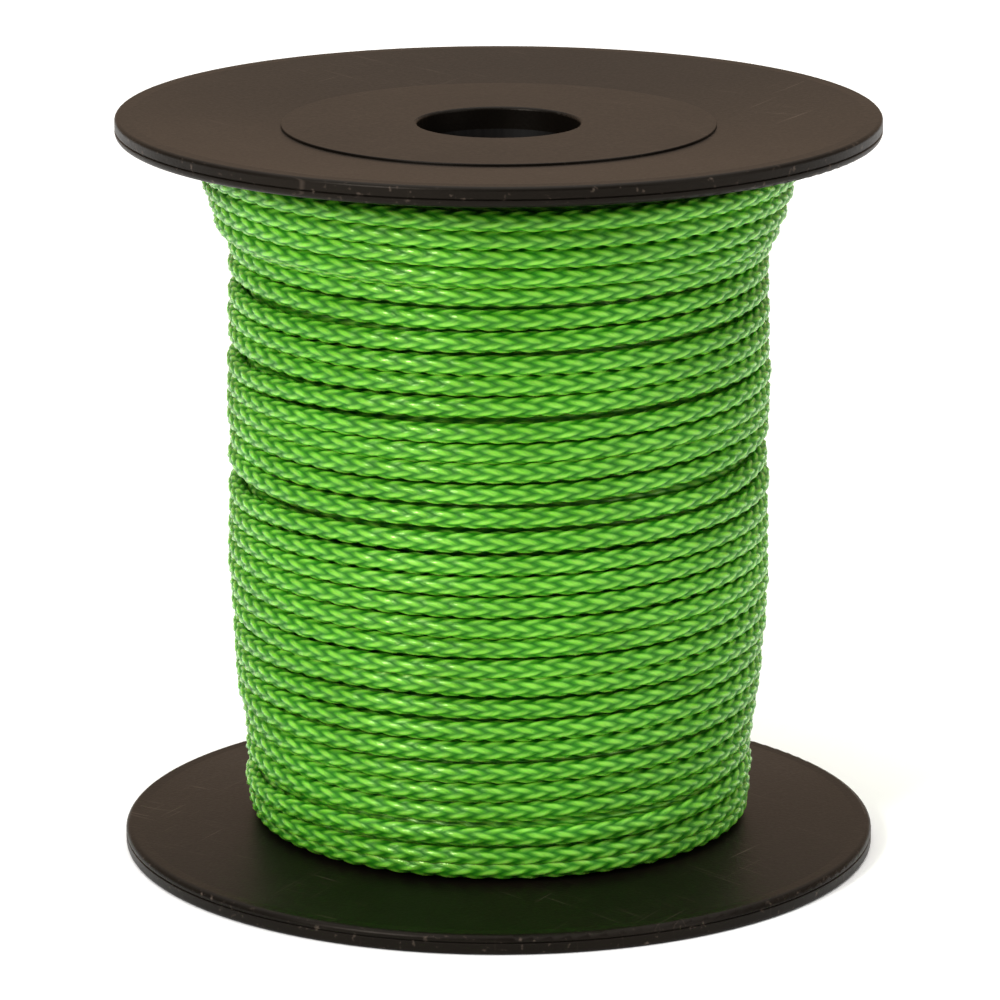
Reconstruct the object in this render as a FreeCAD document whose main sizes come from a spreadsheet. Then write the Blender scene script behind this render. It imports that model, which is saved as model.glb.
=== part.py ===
"""Line spool: two dished press-on flanges, a barrel, a bore liner and the wound line."""

import FreeCAD, Part
import os
import PartDesign
import Sketcher

Vector = FreeCAD.Vector
Rotation = FreeCAD.Rotation

# Driving dimensions, in millimetres, degrees or plain counts.
DIMENSIONS = {
    "spool_height": 74.0,       # over the two rims
    "rim_radius": 37.5,
    "rim_thickness": 2.0,
    "rim_outer_round": 0.4,     # rounding of the rim's edge on the outer face
    "rim_inner_round": 0.6,     # and on the face towards the line
    "foot_width": 1.6,          # flat ring at the rim, which the spool stands on
    "groove_height": 1.1,       # the parting groove round the rim, from the outer face
    "groove_width": 0.22,
    "groove_depth": 0.12,
    "dish_depth": 1.25,         # how far the web's middle sits inside the rim
    "web_thickness": 1.95,
    "boss_height": 0.25,        # raised disc on the outer face, over the barrel
    "boss_round": 0.1,
    "bore_radius": 8.0,
    "mouth_round": 0.3,         # rounding of the bore's mouth
    "barrel_radius": 21.3,
    "barrel_wall": 2.0,
    "seat_clearance": 0.05,     # radial, between a moulded seat and its tube
    "spigot_wall": 1.6,
    "spigot_length": 6.0,
    "liner_wall": 1.5,
    "socket_wall": 1.6,
    "socket_length": 5.0,
    "rib_count": 6,
    "rib_thickness": 1.2,
    "rib_height": 3.5,
    "rib_bite": 0.3,            # how far a rib runs into the rings that it joins
    "anchor_hole_radius": 1.6,  # where the line's first end goes into the barrel
    "anchor_hole_rise": 3.0,    # from the lower spigot's end to the hole's centre
    "winding_low_radius": 25.0,
    "winding_radius": 26.9,
    "winding_top_radius": 29.3,
    "winding_taper_height": 27.0,
    "winding_flare_height": 10.5,
    "winding_top_height": 3.5,
}

doc = FreeCAD.newDocument("line_spool")
sheet = doc.addObject("Spreadsheet::Sheet", "Dimensions")


def fill_sheet():
    """Put each driving dimension in the sheet, under its own alias."""
    for row, (alias, value) in enumerate(DIMENSIONS.items(), start=1):
        sheet.set(f"A{row}", alias)
        sheet.set(f"B{row}", str(value))
        sheet.setAlias(f"B{row}", alias)
    doc.recompute()


def on_sheet(expression):
    """Point every alias in an expression at the sheet."""
    words = expression.split(" ")
    return " ".join(f"Dimensions.{word}" if word in DIMENSIONS else word for word in words)


def bind(item, field, expression):
    item.setExpression(field, on_sheet(expression))


def origin_feature(body, role):
    """The body's own origin plane or axis that has this role."""
    return next(part for part in body.Origin.OriginFeatures if part.Role == role)


def draw_outline(body, name, corners):
    """Draw a closed outline in the body's XZ plane from (radius, height) expressions."""
    sketch = body.newObject("Sketcher::SketchObject", name)
    sketch.AttachmentSupport = [(origin_feature(body, "XZ_Plane"), "")]
    sketch.MapMode = "FlatFace"
    points = []
    for radius, height in corners:
        across = sketch.evalExpression(on_sheet(radius))
        up = sketch.evalExpression(on_sheet(height))
        points.append(Vector(float(across), float(up), 0))
    count = len(points)
    for index, point in enumerate(points):
        sketch.addGeometry(Part.LineSegment(point, points[(index + 1) % count]), False)
    for index in range(count):
        sketch.addConstraint(Sketcher.Constraint("Coincident", index, 2, (index + 1) % count, 1))
    for index, (radius, height) in enumerate(corners):
        for kind, expression, value in (
            ("DistanceX", radius, points[index].x),
            ("DistanceY", height, points[index].y),
        ):
            constraint = sketch.addConstraint(Sketcher.Constraint(kind, -1, 1, index, 1, value))
            bind(sketch, f"Constraints[{constraint}]", expression)
    return sketch


def revolve(body, sketch, name):
    """Turn an outline once round the body's Z axis."""
    solid = body.newObject("PartDesign::Revolution", name)
    solid.Profile = sketch
    solid.ReferenceAxis = (sketch, ["V_Axis"])
    solid.Angle = 360.0
    doc.recompute()
    return solid


def round_circles(body, base, name, size, circles):
    """Fillet the base's circular edges that lie at these (radius, height) expressions."""
    places = []
    for radius, height in circles:
        across = float(base.evalExpression(on_sheet(radius)))
        up = float(base.evalExpression(on_sheet(height)))
        places.append((across, up))
    names = []
    for number, edge in enumerate(base.Shape.Edges, start=1):
        if not isinstance(edge.Curve, Part.Circle):
            continue
        for across, up in places:
            if abs(edge.Curve.Radius - across) < 1e-4 and abs(edge.Curve.Center.z - up) < 1e-4:
                names.append(f"Edge{number}")
    fillet = body.newObject("PartDesign::Fillet", name)
    fillet.Base = (base, names)
    bind(fillet, "Radius", size)
    doc.recompute()
    return fillet


# Places that several pieces share.
SEAT = "( dish_depth + web_thickness )"          # inner face of the web, over the barrel
SPIGOT = "( barrel_radius - barrel_wall - seat_clearance )"
SPIGOT_INNER = "( barrel_radius - barrel_wall - seat_clearance - spigot_wall )"
LINER = "( bore_radius + liner_wall )"
SOCKET = "( bore_radius + liner_wall + seat_clearance )"
SOCKET_OUTER = "( bore_radius + liner_wall + seat_clearance + socket_wall )"
FOOT_INNER = "( rim_radius - foot_width )"
CORE_LENGTH = "( spool_height - 2 * ( dish_depth + web_thickness ) )"


def make_flange(name, label):
    """One moulded flange: dished web, raised boss, and a spigot, a socket and ribs inside.

    It is drawn with its outer face down, as the lower flange stands.
    """
    body = doc.addObject("PartDesign::Body", name)
    body.Label = label
    outline = draw_outline(body, f"{name}_outline", [
        ("bore_radius", "dish_depth - boss_height"),
        ("barrel_radius", "dish_depth - boss_height"),
        ("barrel_radius", "dish_depth"),
        (FOOT_INNER, "0"),
        ("rim_radius", "0"),
        ("rim_radius", "groove_height"),
        ("rim_radius - groove_depth", "groove_height + groove_width / 2"),
        ("rim_radius", "groove_height + groove_width"),
        ("rim_radius", "rim_thickness"),
        (FOOT_INNER, "rim_thickness"),
        ("barrel_radius", SEAT),
        (SPIGOT, SEAT),
        (SPIGOT, f"{SEAT} + spigot_length"),
        (SPIGOT_INNER, f"{SEAT} + spigot_length"),
        (SPIGOT_INNER, SEAT),
        (SOCKET_OUTER, SEAT),
        (SOCKET_OUTER, f"{SEAT} + socket_length"),
        (SOCKET, f"{SEAT} + socket_length"),
        (SOCKET, SEAT),
        ("bore_radius", SEAT),
    ])
    disc = revolve(body, outline, f"{name}_disc")
    rounded = round_circles(body, disc, f"{name}_outer_round", "rim_outer_round", [
        ("rim_radius", "0"),
    ])
    rounded = round_circles(body, rounded, f"{name}_inner_round", "rim_inner_round", [
        ("rim_radius", "rim_thickness"),
    ])
    rounded = round_circles(body, rounded, f"{name}_mouth_round", "mouth_round", [
        ("bore_radius", "dish_depth - boss_height"),
    ])
    round_circles(body, rounded, f"{name}_boss_round", "boss_round", [
        ("barrel_radius", "dish_depth - boss_height"),
    ])
    add_ribs(body, name)
    return body


def add_ribs(body, name):
    """Radial ribs that tie the bore's socket to the barrel's spigot."""
    sketch = body.newObject("Sketcher::SketchObject", f"{name}_rib_outline")
    sketch.AttachmentSupport = [(origin_feature(body, "XY_Plane"), "")]
    sketch.MapMode = "FlatFace"
    bind(sketch, "AttachmentOffset.Base.z", f"{SEAT} - rib_bite")
    near = float(sketch.evalExpression(on_sheet(f"{SOCKET_OUTER} - rib_bite")))
    far = float(sketch.evalExpression(on_sheet(f"{SPIGOT_INNER} + rib_bite")))
    half = DIMENSIONS["rib_thickness"] / 2
    corners = [Vector(near, -half, 0), Vector(far, -half, 0), Vector(far, half, 0), Vector(near, half, 0)]
    for index in range(4):
        sketch.addGeometry(Part.LineSegment(corners[index], corners[(index + 1) % 4]), False)
    for index in range(4):
        sketch.addConstraint(Sketcher.Constraint("Coincident", index, 2, (index + 1) % 4, 1))
    for side in (0, 2):
        sketch.addConstraint(Sketcher.Constraint("Horizontal", side))
    for side in (1, 3):
        sketch.addConstraint(Sketcher.Constraint("Vertical", side))
    for kind, line, value, expression in (
        ("DistanceX", 0, near, f"{SOCKET_OUTER} - rib_bite"),
        ("DistanceX", 1, far, f"{SPIGOT_INNER} + rib_bite"),
        ("DistanceY", 0, -half, "0 - rib_thickness / 2"),
        ("DistanceY", 2, half, "rib_thickness / 2"),
    ):
        constraint = sketch.addConstraint(Sketcher.Constraint(kind, -1, 1, line, 1, value))
        bind(sketch, f"Constraints[{constraint}]", expression)
    rib = body.newObject("PartDesign::Pad", f"{name}_rib")
    rib.Profile = sketch
    bind(rib, "Length", "rib_height + rib_bite")
    doc.recompute()
    ribs = body.newObject("PartDesign::PolarPattern", f"{name}_ribs")
    ribs.Originals = [rib]
    ribs.Axis = (origin_feature(body, "Z_Axis"), [""])
    ribs.Angle = 360.0
    bind(ribs, "Occurrences", "rib_count")
    body.Tip = ribs
    doc.recompute()


def make_tube(name, label, outer, inner, low, length):
    """A plain tube on the spool's axis."""
    outside = doc.addObject("Part::Cylinder", f"{name}_outside")
    inside = doc.addObject("Part::Cylinder", f"{name}_inside")
    for cylinder, radius in ((outside, outer), (inside, inner)):
        bind(cylinder, "Radius", radius)
        bind(cylinder, "Height", length)
        bind(cylinder, "Placement.Base.z", low)
    tube = doc.addObject("Part::Cut", name)
    tube.Label = label
    tube.Base = outside
    tube.Tool = inside
    doc.recompute()
    return tube


def drill_anchor_hole(tube, label):
    """Drill the hole at the back of the barrel that the line's first end is knotted through."""
    drill = doc.addObject("Part::Cylinder", "anchor_drill")
    bind(drill, "Radius", "anchor_hole_radius")
    bind(drill, "Height", "barrel_radius")
    bind(drill, "Placement.Base.z", f"{SEAT} + anchor_hole_rise + spigot_length")
    drill.Placement.Rotation = Rotation(Vector(1, 0, 0), -90)
    drilled = doc.addObject("Part::Cut", "barrel_drilled")
    tube.Label = "barrel_plain"
    drilled.Base = tube
    drilled.Tool = drill
    drilled.Label = label
    doc.recompute()
    return drilled


def make_winding(label):
    """The outer shape of the wound line: slimmer low down, and flared under the upper flange."""
    body = doc.addObject("PartDesign::Body", "winding_body")
    body.Label = label
    top = f"( {CORE_LENGTH} + {SEAT} )"
    outline = draw_outline(body, "winding_outline", [
        ("barrel_radius", SEAT),
        ("winding_low_radius", SEAT),
        ("winding_radius", f"{SEAT} + winding_taper_height"),
        ("winding_radius", f"{top} - winding_flare_height"),
        ("winding_top_radius", f"{top} - winding_top_height"),
        ("winding_top_radius", top),
        ("barrel_radius", top),
    ])
    revolve(body, outline, "winding_solid")
    return body


fill_sheet()

lower_flange = make_flange("LowerFlange", "lower_flange")
upper_flange = make_flange("UpperFlange", "upper_flange")
upper_flange.Placement.Rotation = Rotation(Vector(1, 0, 0), 180)
bind(upper_flange, "Placement.Base.z", "spool_height")

plain_barrel = make_tube("Barrel", "barrel", "barrel_radius", "barrel_radius - barrel_wall", SEAT, CORE_LENGTH)
barrel = drill_anchor_hole(plain_barrel, "barrel")
bore_liner = make_tube("BoreLiner", "bore_liner", LINER, "bore_radius", SEAT, CORE_LENGTH)
line_winding = make_winding("line_winding")
doc.recompute()

for item in doc.Objects:
    if "Invalid" in item.State or "Error" in item.State:
        raise RuntimeError(f"{item.Label} failed: {item.State}")

os.makedirs("parts", exist_ok=True)
for piece in (lower_flange, upper_flange, barrel, bore_liner, line_winding):
    if piece.Shape.isNull() or not piece.Shape.isValid():
        raise RuntimeError(f"{piece.Label} has no valid shape")
    piece.Shape.exportStep(f"parts/{piece.Label}.step")
    print(piece.Label, len(piece.Shape.Solids), "solid", round(piece.Shape.Volume, 1), "mm3")
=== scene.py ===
"""Looks of the line spool: two moulded flanges, a barrel, a bore liner and the braided line."""

import math

import bpy
import numpy as np
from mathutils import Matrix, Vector


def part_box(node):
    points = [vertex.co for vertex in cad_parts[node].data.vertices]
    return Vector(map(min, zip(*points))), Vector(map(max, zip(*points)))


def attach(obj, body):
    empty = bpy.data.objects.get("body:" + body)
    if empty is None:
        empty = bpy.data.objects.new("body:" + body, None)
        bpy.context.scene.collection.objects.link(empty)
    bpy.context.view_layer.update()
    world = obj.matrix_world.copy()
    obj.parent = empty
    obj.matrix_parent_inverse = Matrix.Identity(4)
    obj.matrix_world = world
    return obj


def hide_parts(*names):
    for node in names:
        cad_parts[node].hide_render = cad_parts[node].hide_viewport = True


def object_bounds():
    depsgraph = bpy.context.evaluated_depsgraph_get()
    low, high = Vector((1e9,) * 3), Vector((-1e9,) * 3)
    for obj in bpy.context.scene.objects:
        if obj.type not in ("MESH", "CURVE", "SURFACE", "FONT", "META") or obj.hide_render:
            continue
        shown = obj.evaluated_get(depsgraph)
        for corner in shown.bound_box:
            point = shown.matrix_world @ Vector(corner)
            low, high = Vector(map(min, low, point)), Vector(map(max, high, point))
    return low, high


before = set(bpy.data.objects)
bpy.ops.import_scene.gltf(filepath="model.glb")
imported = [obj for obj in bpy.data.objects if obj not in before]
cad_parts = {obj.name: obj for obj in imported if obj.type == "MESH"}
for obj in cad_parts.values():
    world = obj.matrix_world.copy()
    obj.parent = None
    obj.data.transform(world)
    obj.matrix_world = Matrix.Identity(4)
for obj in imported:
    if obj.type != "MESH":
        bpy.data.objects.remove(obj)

cad_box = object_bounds()
MM = 0.001

# ---------------------------------------------------------------------------------------------
# Barrel and bore liner. Two extruded polystyrene tubes, sawn to length, which the flanges press
# onto. The barrel is hidden by the line, and the liner shows only down the bore.
# ---------------------------------------------------------------------------------------------


def linear(hex_colour):
    """The linear RGBA colour of an sRGB hex value such as #3a7c1f."""
    channels = [int(hex_colour[place:place + 2], 16) / 255 for place in (1, 3, 5)]
    curve = [c / 12.92 if c <= 0.04045 else ((c + 0.055) / 1.055) ** 2.4 for c in channels]
    return (*curve, 1.0)


def add_node(tree, kind, inputs=None, stops=(), **settings):
    """Add a node with its settings, and link or set each of its inputs.

    An input is given a plain value, a socket to link, or a node, whose first output is linked.
    The stops are a colour ramp's, as (position, hex colour) pairs.
    """
    node = tree.nodes.new(kind)
    for name, value in settings.items():
        setattr(node, name, value)
    for socket, value in (inputs or {}).items():
        if isinstance(value, bpy.types.Node):
            value = value.outputs[0]
        if isinstance(value, bpy.types.NodeSocket):
            tree.links.new(value, node.inputs[socket])
        else:
            node.inputs[socket].default_value = value
    if stops:
        elements = node.color_ramp.elements
        while len(elements) < len(stops):
            elements.new(0.5)
        for element, (position, hex_colour) in zip(elements, stops):
            element.position = position
            element.color = linear(hex_colour)
    return node


def new_material(name):
    """An empty node material and its tree."""
    material = bpy.data.materials.new(name)
    material.use_nodes = True
    material.node_tree.nodes.clear()
    return material, material.node_tree


def extruded_polystyrene():
    """Black polystyrene drawn through a die: a dull skin with faint lines along the tube."""
    material, tree = new_material("extruded_black_polystyrene")
    place = add_node(tree, "ShaderNodeTexCoord").outputs["Object"]
    line_spacing = 0.4 * MM
    squeeze = add_node(tree, "ShaderNodeMapping", {"Vector": place, "Scale": (1, 1, 0.02)})
    lines = add_node(tree, "ShaderNodeTexNoise",
                     {"Vector": squeeze, "Scale": 1 / line_spacing, "Detail": 3.0})
    tone = add_node(tree, "ShaderNodeValToRGB", {"Fac": lines},
                    stops=[(0.3, "#080605"), (0.7, "#0f0c09")])
    rough = add_node(tree, "ShaderNodeMapRange", {"Value": lines, "To Min": 0.4, "To Max": 0.6})
    bump = add_node(tree, "ShaderNodeBump",
                    {"Height": lines, "Strength": 0.3, "Distance": 0.02 * MM})
    shader = add_node(tree, "ShaderNodeBsdfPrincipled", {
        "Base Color": tone,
        "Roughness": rough,
        "Normal": bump,
        "IOR": 1.59,
        "Specular IOR Level": 0.22,
    })
    add_node(tree, "ShaderNodeOutputMaterial", {"Surface": shader})
    return material


tube_plastic = extruded_polystyrene()
for tube in ("barrel", "bore_liner"):
    bpy.data.objects[tube].data.materials.clear()
    bpy.data.objects[tube].data.materials.append(tube_plastic)

# ---------------------------------------------------------------------------------------------
# Braided line. One nylon line of eight strands, braided one over one, wound up, down and up the
# barrel, with a few turns more under the upper flange. Its first end goes through the barrel's
# hole, and its last end is tucked under the top turns at the back.
# ---------------------------------------------------------------------------------------------

barrel_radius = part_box("barrel")[1][0]
winding_low, winding_high = (Vector(corner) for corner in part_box("line_winding"))
axial_half = 1.04 * MM           # half of the line's width along the spool
radial_half = 0.98 * MM          # half of its thickness
relief = 0.28 * MM               # how far the strands stand out of the grooves between them
turn_count = 32                  # in each of the three layers
points_per_turn = 24
step_angle = 2 * math.pi / points_per_turn
stitch = 2.55 * MM               # one strand's float, along the line
strand_pairs = 4
strand_dive = 0.42               # how far a strand dives at a float's end, in strand heights
strand_roundness = 0.85          # the power that the strand's arch is raised to: less is flatter
rng = np.random.default_rng(7)


def smooth_noise(count, spacing, amplitude):
    """Even random wandering: a new random value every so many points, joined smoothly."""
    knots = rng.uniform(-1, 1, count // spacing + 4)
    at = np.arange(count) / spacing
    low = at.astype(int)
    share = at - low
    share = share * share * (3 - 2 * share)
    return amplitude * (knots[low] * (1 - share) + knots[low + 1] * share)


def outer_radius(height):
    """The third layer's outer radius: slimmer near the lower flange, piled up near the upper one."""
    foot = 24.85 * MM
    body = 26.85 * MM
    pile = 0.3 * MM
    taper_height = 30 * MM
    pile_below_top = 12 * MM
    pile_height = 6 * MM
    taper = np.clip((height - winding_low.z) / taper_height, 0, 1)
    top = np.clip((height - winding_high.z + pile_below_top) / pile_height, 0, 1)
    return foot + (body - foot) * np.sin(taper * math.pi / 2) + pile * top


# Partings at the left side, seen from the front, and others scattered round the winding: each
# one's height, its angle round the spool, and how far it opens.
left_side = math.radians(189)
gap_places = [(height * MM, left_side, 0.8 * MM) for height in (57, 52, 38.5, 24, 9)]
gap_places += [(rng.uniform(8, 62) * MM, rng.uniform(0, 2 * math.pi), rng.uniform(0.2, 0.5) * MM)
               for _ in range(12)]


def gaps(angle, height):
    """How far the turns are pushed up or down where they have parted and the layer below shows."""
    spread = 0.4                 # radians round the spool
    reach = 4.5 * MM             # the push falls to about a third this far above and below
    edge = 0.5 * MM              # how quickly the push turns from down to up
    push = np.zeros(len(angle))
    for middle_height, middle_angle, opening in gap_places:
        aside = (angle - middle_angle + math.pi) % (2 * math.pi) - math.pi
        above = height - middle_height
        near = np.exp(-(aside / spread) ** 2 - np.abs(above) / reach)
        push += opening * np.tanh(above / edge) * near
    return push


def wound_layer(number, climbing, first_angle):
    """One layer's route as angle, radius and height, point by point.

    The line lies flat on each flange for most of a turn before it starts back, and it climbs more
    slowly at the front of the spool than at the back.
    """
    count = turn_count * points_per_turn
    share = np.linspace(0, 1, count)
    angle = first_angle + 2 * math.pi * turn_count * share
    flat_before = 0.8            # turns
    flat_after = 0.5
    travelling = turn_count - flat_before - flat_after
    climb = np.clip((turn_count * share - flat_before) / travelling, 0, 1)
    rise = climb if climbing else 1 - climb
    low = winding_low.z + axial_half
    high = winding_high.z - axial_half
    slow_front = 0.22 * MM
    ease = np.clip(np.minimum(rise, 1 - rise) * 20, 0, 1)       # nothing at either flange
    way = 1 if climbing else -1
    height = low + (high - low) * rise - way * slow_front * np.cos(angle) * ease
    inner = barrel_radius + radial_half
    outer = outer_radius(height) - radial_half
    radius = inner + (outer - inner) * number / 2
    return angle, radius, height


route_angle = []
route_radius = []
route_height = []
first_angle = math.pi / 2
for number, climbing in enumerate((True, False, True)):
    angle, radius, height = wound_layer(number, climbing, first_angle)
    if number == 2:              # the layer that shows: its turns wander, but not at the flanges
        count = len(angle)
        from_flange = np.minimum(height - winding_low.z, winding_high.z - height) - axial_half
        free = np.clip(from_flange / (3 * MM), 0.02, 1)
        wander = smooth_noise(count, 7, 0.19 * MM) + smooth_noise(count, 36, 0.36 * MM)
        height = height + free * (wander + gaps(angle, height))
        radius = radius + smooth_noise(count, 7, 0.12 * MM) + smooth_noise(count, 31, 0.2 * MM)
    route_angle.append(angle)
    route_radius.append(radius)
    route_height.append(height)
    first_angle = angle[-1] + step_angle

# The last turns come back down on top of the third layer, and the end dives under them.
top_turns = 3.7
top_radius = 28.9 * MM           # of the first of these turns, to the middle of the line
top_narrowing = 2.2 * MM         # from the first to the last
top_drop = 7.0 * MM
count = int(top_turns * points_per_turn)
share = np.linspace(0, 1, count)
route_angle.append(first_angle + 2 * math.pi * top_turns * share)
route_radius.append(top_radius - top_narrowing * share + smooth_noise(count, 8, 0.08 * MM))
top_wander = smooth_noise(count, 9, 0.12 * MM)
route_height.append(winding_high.z - axial_half - top_drop * share + top_wander)
tuck_points = 8                  # a third of a turn
tuck_inward = 2.3 * MM
tuck_drop = 0.7 * MM
tuck_share = np.linspace(0, 1, tuck_points)
route_angle.append(route_angle[-1][-1] + step_angle * (1 + np.arange(tuck_points)))
route_radius.append(route_radius[-1][-1] - tuck_inward * tuck_share)
route_height.append(route_height[-1][-1] - tuck_drop * tuck_share)

angles = np.concatenate(route_angle)
radii = np.concatenate(route_radius)
heights = np.concatenate(route_height)
radii = radii / (0.75 + 0.25 * math.cos(step_angle))    # the spline runs inside its control points

# The first end: in through the barrel's hole, and down to the lower flange under the first turns.
hole_rise = 9.0 * MM             # above the foot of the winding
hole = Vector((0, barrel_radius, winding_low.z + hole_rise))
hole_run = [(0, from_axis * MM, hole.z) for from_axis in (15, 18, 20.5)]
lead_in = points_per_turn
heights[:lead_in] += (hole.z - heights[0]) * np.linspace(1, 0, lead_in) ** 2
coil_points = np.column_stack([radii * np.cos(angles), radii * np.sin(angles), heights])
control = np.vstack([np.array(hole_run), coil_points])
points_per_control = 6           # along the smooth line


def spline_points(points, resolution):
    """Read the points of a smooth NURBS line through these control points."""
    curve = bpy.data.curves.new("line_route", "CURVE")
    curve.dimensions = "3D"
    spline = curve.splines.new("NURBS")
    spline.points.add(len(points) - 1)
    spline.points.foreach_set("co", np.column_stack([points, np.ones(len(points))]).ravel())
    spline.order_u = 3
    spline.use_endpoint_u = True
    spline.resolution_u = resolution
    holder = bpy.data.objects.new("line_route", curve)
    bpy.context.scene.collection.objects.link(holder)
    bpy.context.view_layer.update()
    evaluated = holder.evaluated_get(bpy.context.evaluated_depsgraph_get())
    mesh = bpy.data.meshes.new_from_object(evaluated)
    found = np.empty(len(mesh.vertices) * 3)
    mesh.vertices.foreach_get("co", found)
    bpy.data.meshes.remove(mesh)
    bpy.data.objects.remove(holder)
    bpy.data.curves.remove(curve)
    return found.reshape(-1, 3)


line_path = spline_points(control, points_per_control)
path_steps = np.linalg.norm(np.diff(line_path, axis=0), axis=1)
travelled = np.concatenate([[0], np.cumsum(path_steps)])
line_length = float(travelled[-1])

# Rings along the line: close together where the turns show, further apart in the hidden layers.
ring_step = 0.36 * MM
hidden_step = 2.4 * MM
hidden_points = len(hole_run) + 2 * turn_count * points_per_turn - points_per_turn // 2
hidden_length = float(travelled[hidden_points * points_per_control])
stations = np.concatenate([
    np.arange(0, hidden_length, hidden_step),
    np.arange(hidden_length, line_length, ring_step),
    [line_length],
])
centres = np.column_stack([np.interp(stations, travelled, line_path[:, axis]) for axis in range(3)])
tangents = np.gradient(centres, stations, axis=0)
tangents /= np.linalg.norm(tangents, axis=1)[:, None]
outward = centres * np.array([1, 1, 0])
outward -= tangents * np.sum(outward * tangents, axis=1)[:, None]
lengths = np.linalg.norm(outward, axis=1)[:, None]
outward = np.where(lengths > 1e-6, outward / np.maximum(lengths, 1e-9), np.array([0, 0, 1.0]))
sideways = np.cross(outward, tangents)
sideways /= np.linalg.norm(sideways, axis=1)[:, None]

# Points round the line: close together on its outer side, sparse on the side nobody sees.
shown_side = np.radians(np.linspace(-112, 112, 20))
hidden_side = np.radians(np.linspace(136, 224, 5))
around = np.concatenate([shown_side, hidden_side])
ring_size = len(around)

# The line twists a little one way and the other as it is wound.
roll_knots = 200
roll_places = np.linspace(0, line_length, roll_knots)
twist = np.radians(rng.uniform(-13, 13, roll_knots))
roll = np.radians(-22.5) + np.interp(stations, roll_places, twist)
turned = around[None, :] - roll[:, None]
column = strand_pairs * turned / (2 * math.pi)
along = (stations / stitch)[:, None]


def braid_height(column, along):
    """Height of the braid's surface, 0 in a groove and about 1 on a strand's crown."""
    groove = 0.5
    groove_to_crown = 0.9
    dive = strand_dive * np.cos(2 * math.pi * column)
    rising = np.abs(np.cos(math.pi * (column - along))) ** strand_roundness + dive
    falling = np.abs(np.cos(math.pi * (column + along))) ** strand_roundness - dive
    return (np.maximum(rising, falling) - groove) / groove_to_crown


crown = braid_height(column, along)
swell = 1 + 0.02 * np.sin(stations / (37 * MM))[:, None]        # a little thicker and thinner
radial = (radial_half - relief + relief * crown) * swell
axial = (axial_half - relief + relief * crown) * swell
vertices = (centres[:, None, :]
            + outward[:, None, :] * (radial * np.cos(around))[:, :, None]
            + sideways[:, None, :] * (axial * np.sin(around))[:, :, None])

ring_count = len(stations)
grid = np.arange(ring_count * ring_size).reshape(ring_count, ring_size)
near = grid[:-1]
far = grid[1:]
quads = np.stack([near, np.roll(near, -1, 1), np.roll(far, -1, 1), far], axis=-1).reshape(-1, 4)
faces = [tuple(quad) for quad in quads.tolist()]
faces.append(tuple(grid[0][::-1].tolist()))
faces.append(tuple(grid[-1].tolist()))
line_mesh = bpy.data.meshes.new("braided_line")
line_mesh.from_pydata(vertices.reshape(-1, 3).tolist(), [], faces)
line_mesh.polygons.foreach_set("use_smooth", np.ones(len(faces), dtype=bool))

# The braid's own coordinates: across in strand pairs, along in stitches.
across_grid = np.concatenate([column, column[:, :1] + strand_pairs], axis=1)
along_grid = np.repeat(along, ring_size + 1, axis=1)
braid_values = np.zeros((len(line_mesh.loops), 2))
for axis, values in enumerate((across_grid, along_grid)):
    corners = np.stack([values[:-1, :-1], values[:-1, 1:], values[1:, 1:], values[1:, :-1]], axis=-1)
    braid_values[:corners.size, axis] = corners.ravel()
braid_map = line_mesh.uv_layers.new(name="braid")
braid_map.uv.foreach_set("vector", braid_values.ravel())
line_mesh.validate()
braided_line = bpy.data.objects.new("braided_line", line_mesh)
bpy.context.scene.collection.objects.link(braided_line)


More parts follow.
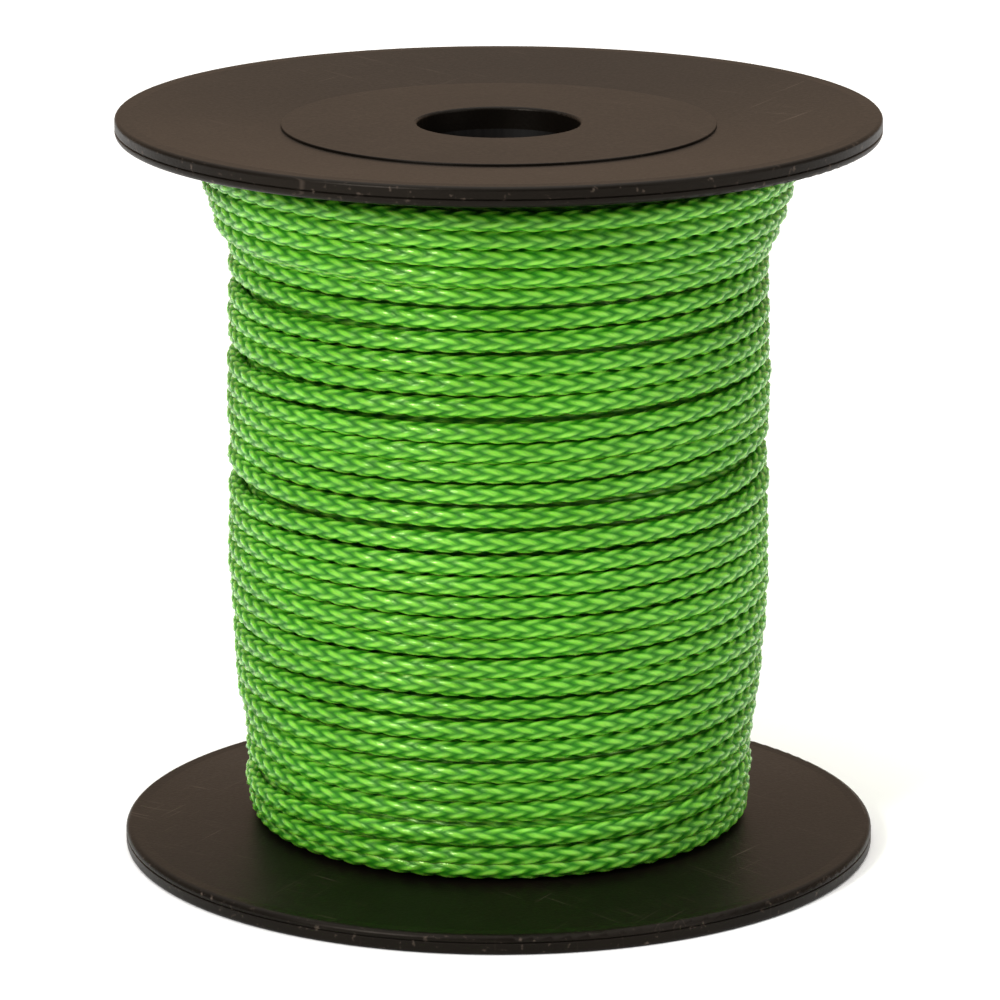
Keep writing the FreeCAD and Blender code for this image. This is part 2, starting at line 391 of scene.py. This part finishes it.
def braided_nylon():
    """Fluorescent green nylon filament, braided: silky strands, with a painted highlight of paler green
    on the crowns and painted shade of darker green in the grooves.

    Light passes into the filaments, so that the grooves glow a deep green and don't go black; part of
    that deep green is painted shade in the grooves' colour.
    """
    material, tree = new_material("braided_green_nylon")
    place = add_node(tree, "ShaderNodeTexCoord").outputs["Object"]
    braid = add_node(tree, "ShaderNodeUVMap", uv_map="braid")
    parts = add_node(tree, "ShaderNodeSeparateXYZ", {"Vector": braid})
    across = parts.outputs["X"]
    forward = parts.outputs["Y"]

    # The mesh's own strands, worked out again at each point: how high, and which of two is on top.
    row_angle = add_node(tree, "ShaderNodeMath", {0: across, 1: 2 * math.pi}, operation="MULTIPLY")
    row_wave = add_node(tree, "ShaderNodeMath", {0: row_angle}, operation="COSINE")
    dive = add_node(tree, "ShaderNodeMath", {0: row_wave, 1: strand_dive}, operation="MULTIPLY")
    leans = []
    strand_heights = []
    for lean_way, dive_way in (("SUBTRACT", "ADD"), ("ADD", "SUBTRACT")):
        lean = add_node(tree, "ShaderNodeMath", {0: across, 1: forward}, operation=lean_way)
        turn = add_node(tree, "ShaderNodeMath", {0: lean, 1: math.pi}, operation="MULTIPLY")
        wave = add_node(tree, "ShaderNodeMath", {0: turn}, operation="COSINE")
        arch = add_node(tree, "ShaderNodeMath", {0: wave}, operation="ABSOLUTE")
        strand = add_node(tree, "ShaderNodeMath", {0: arch, 1: strand_roundness}, operation="POWER")
        strand_height = add_node(tree, "ShaderNodeMath", {0: strand, 1: dive}, operation=dive_way)
        leans.append(lean)
        strand_heights.append(strand_height)
    lean_up, lean_down = leans
    rising, falling = strand_heights
    height = add_node(tree, "ShaderNodeMath", {0: rising, 1: falling}, operation="MAXIMUM")
    top_is_rising = add_node(tree, "ShaderNodeMath", {0: rising, 1: falling},
                             operation="GREATER_THAN")
    strand_place = add_node(tree, "ShaderNodeMix", {0: top_is_rising, 2: lean_down, 3: lean_up})
    strand_run = add_node(tree, "ShaderNodeMix", {0: top_is_rising, 2: lean_up, 3: lean_down})

    # About six filament bundles show across a strand; the real filaments are finer than can be seen.
    bundles_across = 6.0
    bundles_along = 0.9
    bundle_place = add_node(tree, "ShaderNodeMath", {0: strand_place, 1: bundles_across},
                            operation="MULTIPLY")
    bundle_run = add_node(tree, "ShaderNodeMath", {0: strand_run, 1: bundles_along},
                          operation="MULTIPLY")
    bundles = add_node(tree, "ShaderNodeCombineXYZ",
                       {"X": bundle_place, "Y": bundle_run, "Z": top_is_rising})
    filaments = add_node(tree, "ShaderNodeTexNoise", {"Vector": bundles, "Scale": 1.0, "Detail": 2.0})
    patch_size = 9 * MM
    patches = add_node(tree, "ShaderNodeTexNoise",
                       {"Vector": place, "Scale": 1 / patch_size, "Detail": 3.0})

    # From 0 in a groove to 1 on a crown, broken up by the filaments. The roughness follows it, and so
    # does the colour: painted shade in the grooves and a painted highlight on the crowns.
    crown = add_node(tree, "ShaderNodeMapRange",
                     {"Value": height, "From Min": 0.5, "From Max": 1.35, "To Min": 0.0, "To Max": 1.0})
    filament_share = 0.7
    uneven = add_node(tree, "ShaderNodeMath", {0: filaments, 1: 0.5}, operation="SUBTRACT")
    break_up = add_node(tree, "ShaderNodeMath", {0: uneven, 1: filament_share}, operation="MULTIPLY")
    lit = add_node(tree, "ShaderNodeMath", {0: crown, 1: break_up}, operation="ADD", use_clamp=True)
    # Painted shade and highlight: dark green in the grooves, pale green on the crowns.
    painted_shade_and_highlight = add_node(tree, "ShaderNodeValToRGB", {"Fac": lit},
                     stops=[(0.0, "#056a02"), (0.3, "#217c09"), (0.65, "#4c981d"), (1.0, "#84c648")])
    tint = add_node(tree, "ShaderNodeValToRGB", {"Fac": patches},
                    stops=[(0.35, "#dfe9c4"), (0.65, "#ffffff")])
    colour = add_node(tree, "ShaderNodeMix", {0: 1.0, 6: painted_shade_and_highlight, 7: tint},
                      data_type="RGBA", blend_type="MULTIPLY")
    rough = add_node(tree, "ShaderNodeMapRange",
                     {"Value": lit, "From Min": 0.0, "From Max": 1.0, "To Min": 0.65, "To Max": 0.2})
    strands = add_node(tree, "ShaderNodeBump",
                       {"Height": height, "Strength": 0.35, "Distance": 0.16 * MM})
    fibres = add_node(tree, "ShaderNodeBump", {
        "Height": filaments,
        "Strength": 0.8,
        "Distance": 0.05 * MM,
        "Normal": strands,
    })
    shader = add_node(tree, "ShaderNodeBsdfPrincipled", {
        "Base Color": colour.outputs[2],
        "Roughness": rough,
        "Normal": fibres,
        "IOR": 1.53,
        "Specular IOR Level": 0.6,
        "Specular Tint": linear("#dcffae"),
        "Subsurface Weight": 0.6,
        "Subsurface Radius": (0.2, 1.0, 0.1),
        "Subsurface Scale": 1.2 * MM,
    })
    add_node(tree, "ShaderNodeOutputMaterial", {"Surface": shader})
    return material


line_mesh.materials.append(braided_nylon())
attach(braided_line, "root")
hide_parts("line_winding")

# ---------------------------------------------------------------------------------------------
# Flanges. Two alike, injection moulded in dark polystyrene with a fine satin grain from the
# mould. Handling has left hair scratches on the faces and worn the rims a little paler.
# ---------------------------------------------------------------------------------------------

rim_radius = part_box("upper_flange")[1][0]


def moulded_polystyrene():
    """Brown-black high-impact polystyrene: satin, faintly grained, with paler scuffs and scratches."""
    material, tree = new_material("moulded_dark_polystyrene")
    place = add_node(tree, "ShaderNodeTexCoord").outputs["Object"]
    grain_size = 0.35 * MM
    cloud_size = 14 * MM
    grain = add_node(tree, "ShaderNodeTexNoise",
                     {"Vector": place, "Scale": 1 / grain_size, "Detail": 3.0})
    clouds = add_node(tree, "ShaderNodeTexNoise",
                      {"Vector": place, "Scale": 1 / cloud_size, "Detail": 4.0})

    # Hair scratches, in patches and in three directions. Real ones are finer than can be shown.
    scratch_width = 0.3 * MM
    scratch_reach = 12 * MM
    streaks = []
    for way in (0.6, -0.9, 2.3):
        turned_place = add_node(tree, "ShaderNodeVectorRotate", {"Vector": place, "Angle": way},
                                rotation_type="Z_AXIS")
        drawn_out = add_node(tree, "ShaderNodeMapping", {
            "Vector": turned_place,
            "Scale": (1 / scratch_width, 1 / scratch_reach, 1 / scratch_reach),
        })
        streaks.append(add_node(tree, "ShaderNodeTexNoise",
                                {"Vector": drawn_out, "Scale": 1.0, "Detail": 1.0}))
    strongest = streaks[0]
    for streak in streaks[1:]:
        strongest = add_node(tree, "ShaderNodeMath", {0: strongest, 1: streak}, operation="MAXIMUM")
    scratch_line = add_node(tree, "ShaderNodeMapRange", {
        "Value": strongest,
        "From Min": 0.7, "From Max": 0.8, "To Min": 0.0, "To Max": 0.45,
    })
    scratch_where = add_node(tree, "ShaderNodeMapRange", {
        "Value": clouds,
        "From Min": 0.45, "From Max": 0.6, "To Min": 0.0, "To Max": 1.0,
    })
    scratches = add_node(tree, "ShaderNodeMath", {0: scratch_line, 1: scratch_where},
                         operation="MULTIPLY")

    # Paler scuffs and chips, only on the outermost part of the rim.
    chip_size = 0.7 * MM
    flat_place = add_node(tree, "ShaderNodeVectorMath", {0: place, 1: (1, 1, 0)},
                          operation="MULTIPLY")
    from_axis = add_node(tree, "ShaderNodeVectorMath", {0: flat_place}, operation="LENGTH")
    at_rim = add_node(tree, "ShaderNodeMapRange", {
        "Value": from_axis.outputs["Value"],
        "From Min": rim_radius - 0.35 * MM, "From Max": rim_radius - 0.1 * MM,
    })
    chips = add_node(tree, "ShaderNodeTexNoise",
                     {"Vector": place, "Scale": 1 / chip_size, "Detail": 4.0})
    chip_where = add_node(tree, "ShaderNodeMapRange", {
        "Value": chips,
        "From Min": 0.62, "From Max": 0.74, "To Min": 0.0, "To Max": 0.6,
    })
    wear = add_node(tree, "ShaderNodeMath", {0: at_rim, 1: chip_where}, operation="MULTIPLY")

    pale = add_node(tree, "ShaderNodeMath", {0: scratches, 1: wear}, operation="MAXIMUM")
    base = add_node(tree, "ShaderNodeValToRGB", {"Fac": clouds},
                    stops=[(0.3, "#080604"), (0.7, "#100c08")])
    worn = add_node(tree, "ShaderNodeMix", {0: pale, 6: base, 7: linear("#5c5047")}, data_type="RGBA")
    rough = add_node(tree, "ShaderNodeMapRange", {"Value": grain, "To Min": 0.34, "To Max": 0.46})
    surface = add_node(tree, "ShaderNodeMath", {0: grain, 1: scratches}, operation="SUBTRACT")
    bump = add_node(tree, "ShaderNodeBump",
                    {"Height": surface, "Strength": 0.5, "Distance": 0.03 * MM})
    shader = add_node(tree, "ShaderNodeBsdfPrincipled", {
        "Base Color": worn.outputs[2],
        "Roughness": rough,
        "Normal": bump,
        "IOR": 1.59,
        "Specular IOR Level": 0.09,
        "Specular Tint": linear("#fff0e0"),
    })
    add_node(tree, "ShaderNodeOutputMaterial", {"Surface": shader})
    return material


flange_plastic = moulded_polystyrene()
for flange in ("lower_flange", "upper_flange"):
    bpy.data.objects[flange].data.materials.clear()
    bpy.data.objects[flange].data.materials.append(flange_plastic)

# ---------------------------------------------------------------------------------------------
# Studio: a matt white paper floor, a small key light from the front left, a broad weaker fill from
# the right, light from overhead and a warm glow from behind. A long lens looks a little down on
# the spool.
# ---------------------------------------------------------------------------------------------

floor_half = 4.0                 # metres, so that its edge is far off in every view
floor_mesh = bpy.data.meshes.new("studio_floor")
floor_corners = [(-floor_half, -floor_half, 0), (floor_half, -floor_half, 0),
                 (floor_half, floor_half, 0), (-floor_half, floor_half, 0)]
floor_mesh.from_pydata(floor_corners, [], [(0, 1, 2, 3)])
studio_floor = bpy.data.objects.new("studio_floor", floor_mesh)
bpy.context.scene.collection.objects.link(studio_floor)

# Matt paper: no gloss, and flecks too faint to notice.
paper, paper_tree = new_material("matt_white_paper")
fleck_size = 2.5 * MM
paper_grain = add_node(paper_tree, "ShaderNodeTexNoise", {"Scale": 1 / fleck_size})
paper_tone = add_node(paper_tree, "ShaderNodeValToRGB", {"Fac": paper_grain},
                      stops=[(0.0, "#f6f6f4"), (1.0, "#fbfbfa")])
paper_shader = add_node(paper_tree, "ShaderNodeBsdfPrincipled",
                        {"Base Color": paper_tone, "Roughness": 0.9})
add_node(paper_tree, "ShaderNodeOutputMaterial", {"Surface": paper_shader})
floor_mesh.materials.append(paper)

spool_middle = Vector((0, 0, (cad_box[0][2] + cad_box[1][2]) / 2))


def add_softbox(name, place, size, power):
    """A square area light that faces the spool: its place and size in metres, its power in watts."""
    light = bpy.data.lights.new(name, "AREA")
    light.shape = "SQUARE"
    light.size = size
    light.energy = power
    holder = bpy.data.objects.new(name, light)
    holder.location = place
    holder.rotation_euler = (spool_middle - Vector(place)).to_track_quat("-Z", "Y").to_euler()
    bpy.context.scene.collection.objects.link(holder)


add_softbox("key_softbox", (-0.46, -0.58, 0.42), 0.16, 4.7)
add_softbox("fill_softbox", (0.7, -0.35, 0.35), 0.5, 1.6)

world = bpy.data.worlds.new("white_surround")
world.use_nodes = True
sky = world.node_tree
sky_way = add_node(sky, "ShaderNodeTexCoord").outputs["Generated"]
sky_parts = add_node(sky, "ShaderNodeSeparateXYZ", {"Vector": sky_way}).outputs

# Brightest straight overhead and nearly dark at the horizon, and warm behind the spool.
sky_share = add_node(sky, "ShaderNodeMath", {0: sky_parts["Z"], 1: 0.0}, operation="MAXIMUM")
sky_rise = add_node(sky, "ShaderNodeMath", {0: sky_share, 1: 4.0}, operation="POWER")
overhead = add_node(sky, "ShaderNodeMapRange", {"Value": sky_rise, "To Min": 0.05, "To Max": 3.5})
backdrop = add_node(sky, "ShaderNodeValToRGB", {"Fac": sky_parts["Y"]},
                    stops=[(0.0, "#000000"), (1.0, "#c0a185")])
whole_sky = add_node(sky, "ShaderNodeMix", {0: 1.0, 6: overhead, 7: backdrop},
                     data_type="RGBA", blend_type="ADD")

# Where the camera looks past the floor it sees a plain white backdrop, not the lighting.
seen = add_node(sky, "ShaderNodeLightPath").outputs["Is Camera Ray"]
shown_sky = add_node(sky, "ShaderNodeMix",
                     {0: seen, 6: whole_sky.outputs[2], 7: linear("#ffffff")}, data_type="RGBA")
sky.links.new(shown_sky.outputs[2], sky.nodes["Background"].inputs["Color"])
bpy.context.scene.world = world
bpy.context.scene.view_settings.view_transform = "Standard"

camera_distance = 0.5478
camera_height = 0.1766
camera_tilt = math.radians(14.51)
camera_aside = 0.13 * MM
lens = bpy.data.cameras.new("long_lens")
lens.sensor_width = 36.0
lens.lens = 204.9
camera = bpy.data.objects.new("long_lens", lens)
camera.location = (camera_aside, -camera_distance, camera_height)
camera.rotation_euler = (math.pi / 2 - camera_tilt, 0, 0)
bpy.context.scene.collection.objects.link(camera)
bpy.context.scene.camera = camera
